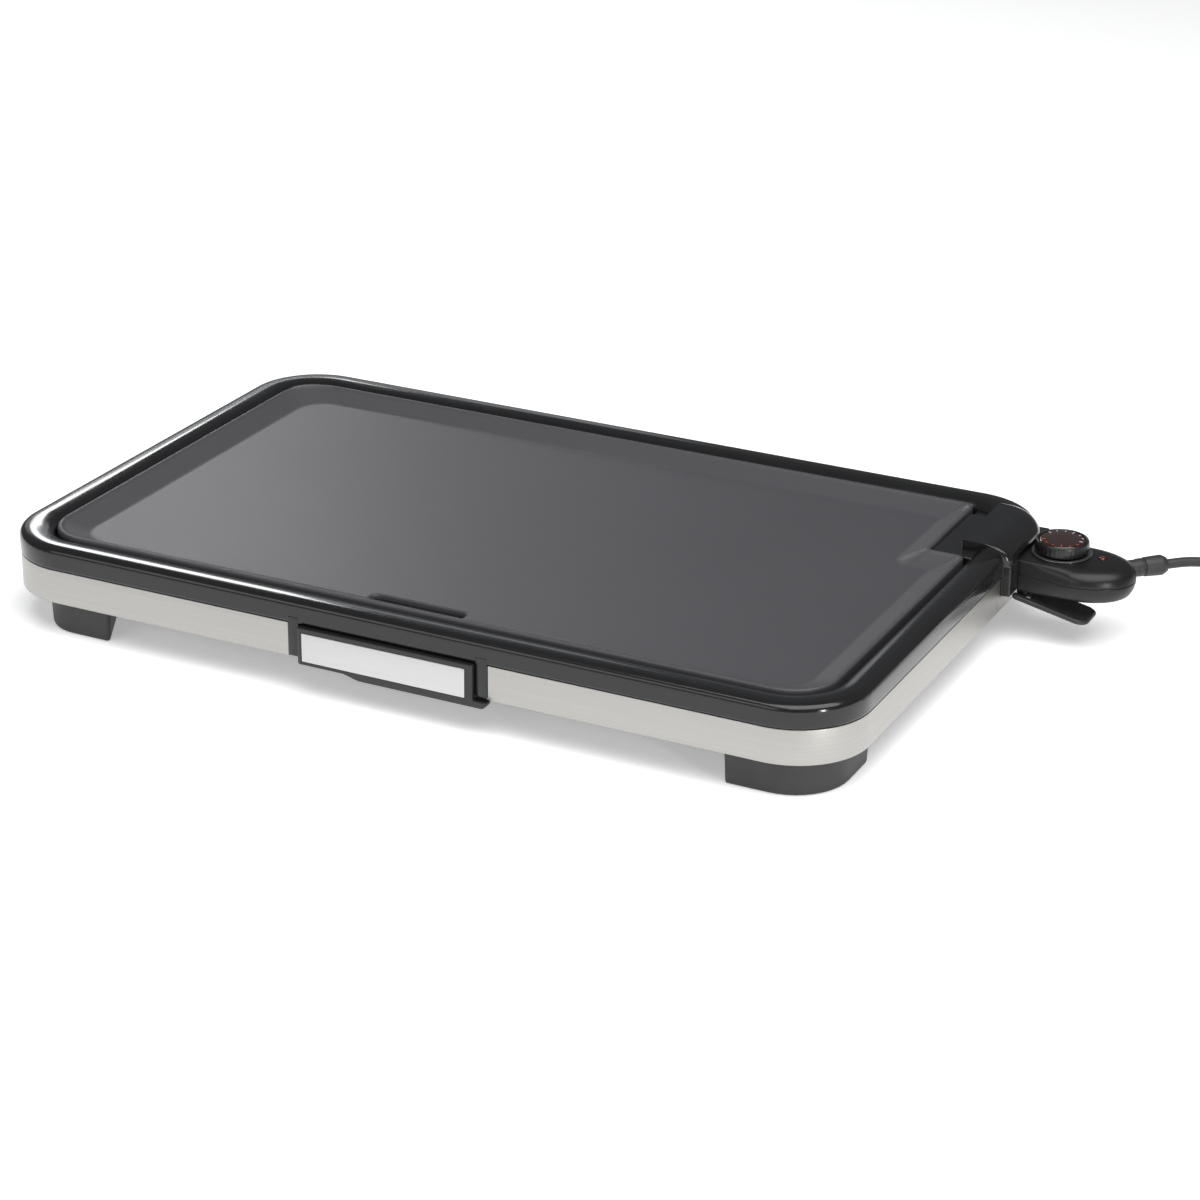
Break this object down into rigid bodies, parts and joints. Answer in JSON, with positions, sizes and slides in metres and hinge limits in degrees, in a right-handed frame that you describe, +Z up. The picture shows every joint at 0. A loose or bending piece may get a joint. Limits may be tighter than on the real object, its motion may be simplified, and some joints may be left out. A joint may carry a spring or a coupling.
{
  "type": "electric griddle",
  "caption": "Table-top electric griddle: a coated cooking plate with a drain slot in a glossy frame, a pull-out drip tray, and a plug-in heat control with dial, lever and lead.",
  "frame": {"origin": "on the table under the middle of the griddle and its heat control, without the free lead", "axes": "+X along the long side towards the heat control, +Y to the back, away from the drip tray, +Z up"},
  "size_m": [0.808, 0.3586, 0.064],
  "materials": {
    "frame_black": "high-gloss moulded plastic",
    "brushed_band": "brushed along its length",
    "pan_black": "fine-textured heat-resistant moulding",
    "bright_sheet": "bright rolled sheet",
    "element_steel": "heat-darkened steel sheath",
    "ceramic_white": "unglazed insulator",
    "pin_metal": "plated contact metal",
    "plate_coating": "dark satin non-stick coating on cast metal",
    "tray_grey": "satin moulded plastic",
    "panel_silver": "satin silver sheet",
    "foot_charcoal": "fine matt texture",
    "pad_rubber": "matt rubber",
    "screw_steel": "zinc-plated steel",
    "control_black": "satin moulded plastic",
    "lever_grey": "matt moulded plastic",
    "dial_black": "satin rim",
    "dial_gloss": "dark glossy disc",
    "lamp_red": "clear red lens",
    "cord_black": "smooth flexible sheath",
    "plug_black": "moulded plug"
  },
  "bodies": {
    "base": {"bezel": "frame_black", "steel_band_left": "brushed_band", "steel_band_right": "brushed_band", "base_pan": "pan_black", "heat_reflector": "bright_sheet", "drain_chute": "bright_sheet", "heating_element": "element_steel", "terminal_block": "ceramic_white", "terminal_pin_1": "pin_metal", "terminal_pin_2": "pin_metal", "sensor_guide": "pin_metal", "tray_rail_left": "pan_black", "tray_rail_right": "pan_black", "element_saddle_1": "ceramic_white", "element_saddle_2": "ceramic_white", "element_saddle_3": "ceramic_white", "element_saddle_4": "ceramic_white", "foot_front_left": "foot_charcoal", "pad_front_left": "pad_rubber", "screw_front_left": "screw_steel", "foot_front_right": "foot_charcoal", "pad_front_right": "pad_rubber", "screw_front_right": "screw_steel", "foot_back_left": "foot_charcoal", "pad_back_left": "pad_rubber", "screw_back_left": "screw_steel", "foot_back_right": "foot_charcoal", "pad_back_right": "pad_rubber", "screw_back_right": "screw_steel"},
    "plate": {"griddle_plate": "plate_coating"},
    "drawer": {"drip_tray": "tray_grey", "tray_front": "frame_black", "tray_panel": "panel_silver"},
    "control": {"control_lower_shell": "control_black", "control_upper_shell": "control_black", "sensor_probe": "pin_metal", "contact_sleeve_1": "pin_metal", "contact_sleeve_2": "pin_metal", "thermostat_switch": "ceramic_white", "pilot_lamp": "lamp_red", "dial_collar": "control_black", "control_screw_1": "screw_steel", "control_screw_2": "screw_steel", "lever_pin": "screw_steel", "strain_relief": "cord_black", "cord": "cord_black", "cord_coil": "cord_black", "cord_tail": "cord_black", "coil_tie": "pad_rubber", "plug_body": "plug_black", "plug_pin_1": "pin_metal", "plug_pin_2": "pin_metal"},
    "dial": {"dial_knob": "dial_black", "dial_cap": "dial_gloss", "dial_shaft": "pin_metal"},
    "lever": {"release_lever": "lever_grey"}
  },
  "joints": [
    {"name": "plate_lift", "type": "slide", "parent": "base", "child": "plate", "axis": [0, 0, 1], "range_m": [0, 0.06]},
    {"name": "tray_slide", "type": "slide", "parent": "base", "child": "drawer", "axis": [0, -1, 0], "range_m": [0, 0.12]},
    {"name": "control_unplug", "type": "slide", "parent": "base", "child": "control", "axis": [1, 0, 0], "range_m": [0, 0.12]},
    {"name": "dial_turn", "type": "hinge", "parent": "control", "child": "dial", "pos_m": [0.26875, 0.1168, 0.057], "axis": [0, 0, -1], "range_deg": [0, 280]},
    {"name": "lever_squeeze", "type": "hinge", "parent": "control", "child": "lever", "pos_m": [0.25075, 0.1068, 0.0265], "axis": [0, -1, 0], "range_deg": [0, 10], "stiffness_Nm_per_rad": 0.6, "springref_deg": -8.59}
  ]
}
